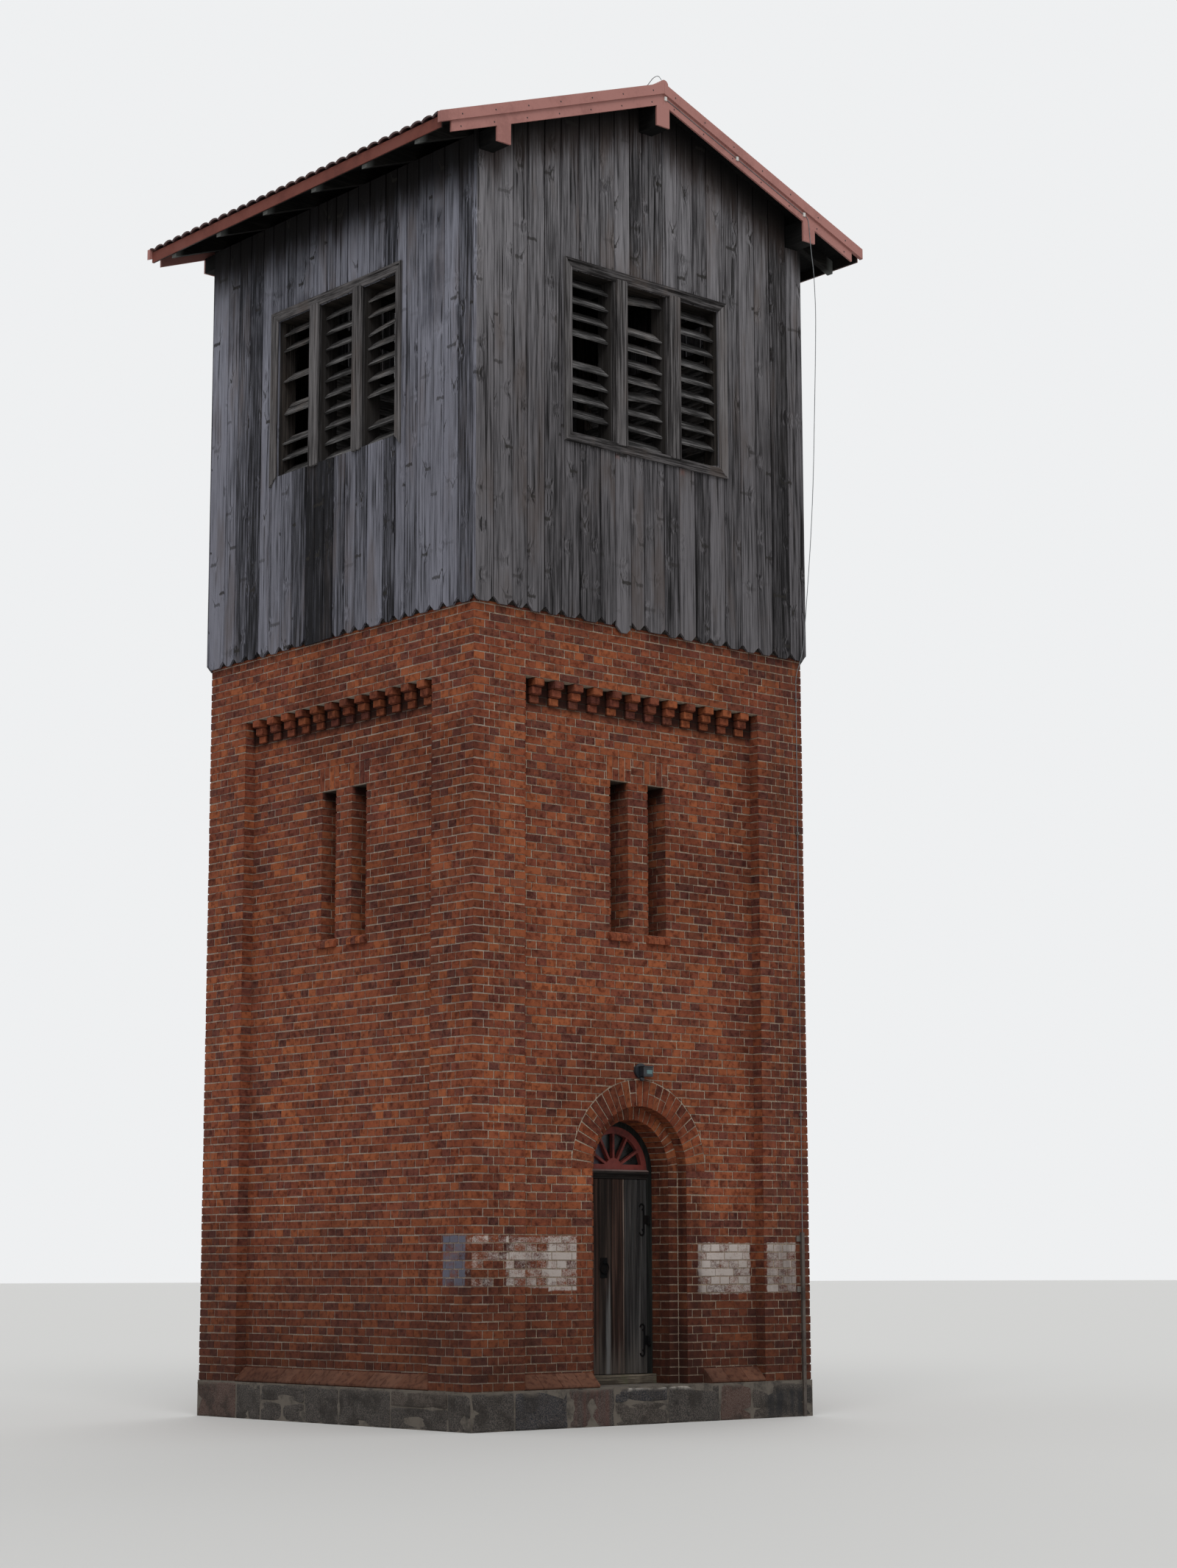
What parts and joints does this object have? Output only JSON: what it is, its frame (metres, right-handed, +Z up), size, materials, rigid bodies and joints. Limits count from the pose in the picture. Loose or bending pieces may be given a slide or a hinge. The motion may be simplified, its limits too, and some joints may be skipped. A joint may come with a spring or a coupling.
{
  "type": "bell tower",
  "caption": "Square brick bell tower on a fieldstone plinth, with a boarded belfry, louvre windows, a low gable roof and an arched door that opens.",
  "frame": {"origin": "on the ground, under the middle of the square tower", "axes": "+Z up; the door and gable front face -Y; the eaves are at -X and +X; the ridge runs along Y"},
  "size_m": [6.034, 5.27, 14.0208],
  "materials": {
    "fieldstone": "split granite fieldstones in cement, grey and pinkish",
    "stone_floor": "worn stone floor",
    "red_brick": "fired red brick, matt, with pale lime joints",
    "arch_brick": "fired red brick laid on end round the arch",
    "moulded_brick": "sloping moulded bricks",
    "frame_wood": "grey weathered timber",
    "threshold_wood": "grey worn timber",
    "fanlight_paint": "old red-brown oil paint, matt",
    "window_glass": "dark dusty window glass",
    "door_wood": "old boards, brown where sheltered and grey where not",
    "wrought_iron": "black forged iron",
    "lamp_black": "black powder coat",
    "frame_timber": "dark sawn softwood",
    "weathered_boards": "bare boards weathered silver grey",
    "louvre_wood": "bare slats weathered grey",
    "roof_sheet": "red-brown coated tile-profile sheet",
    "conductor_wire": "dull grey round wire",
    "conductor_clip": "off-white clips",
    "conductor_guard": "grey-brown painted channel",
    "barge_paint": "faded red-brown coated sheet over boards"
  },
  "bodies": {
    "tower": {"plinth": "fieldstone", "ground_floor": "stone_floor", "corner_piers": "red_brick", "front_wall_beside_door": "red_brick", "front_wall_over_door": "red_brick", "right_wall": "red_brick", "back_wall": "red_brick", "left_wall": "red_brick", "corbel_friezes": "red_brick", "slit_sills": "red_brick", "door_arch": "arch_brick", "inner_order": "arch_brick", "panel_sills": "moulded_brick", "door_frame": "frame_wood", "transom": "frame_wood", "threshold": "threshold_wood", "fanlight": "fanlight_paint", "fanlight_glass": "window_glass", "door_pins": "wrought_iron", "wall_lamp": "lamp_black", "belfry_sill_beams": "frame_timber", "floor_joists": "frame_timber", "belfry_floor": "frame_timber", "belfry_posts": "frame_timber", "window_rails": "frame_timber", "gable_beams": "frame_timber", "ridge_posts": "frame_timber", "purlins": "frame_timber", "rafters": "frame_timber", "roof_boards": "frame_timber", "cladding_rails": "frame_timber", "front_cladding": "weathered_boards", "back_cladding": "weathered_boards", "left_cladding": "weathered_boards", "right_cladding": "weathered_boards", "mullions": "louvre_wood", "window_casings": "louvre_wood", "front_louvres": "louvre_wood", "back_louvres": "louvre_wood", "left_louvres": "louvre_wood", "right_louvres": "louvre_wood", "roof_sheets": "roof_sheet", "ridge_cap": "roof_sheet", "barge_boards": "barge_paint", "lower_barge_boards": "barge_paint", "purlin_caps": "barge_paint", "eave_fascias": "barge_paint", "lightning_conductor": "conductor_wire", "conductor_clips": "conductor_clip", "conductor_guard": "conductor_guard"},
    "door": {"door_leaf": "door_wood", "door_hinges": "wrought_iron", "door_handle": "wrought_iron"}
  },
  "joints": [
    {"name": "door_swing", "type": "hinge", "parent": "tower", "child": "door", "pos_m": [0.455, -1.774, 1.4], "axis": [0, 0, 1], "range_deg": [0, 100]}
  ]
}
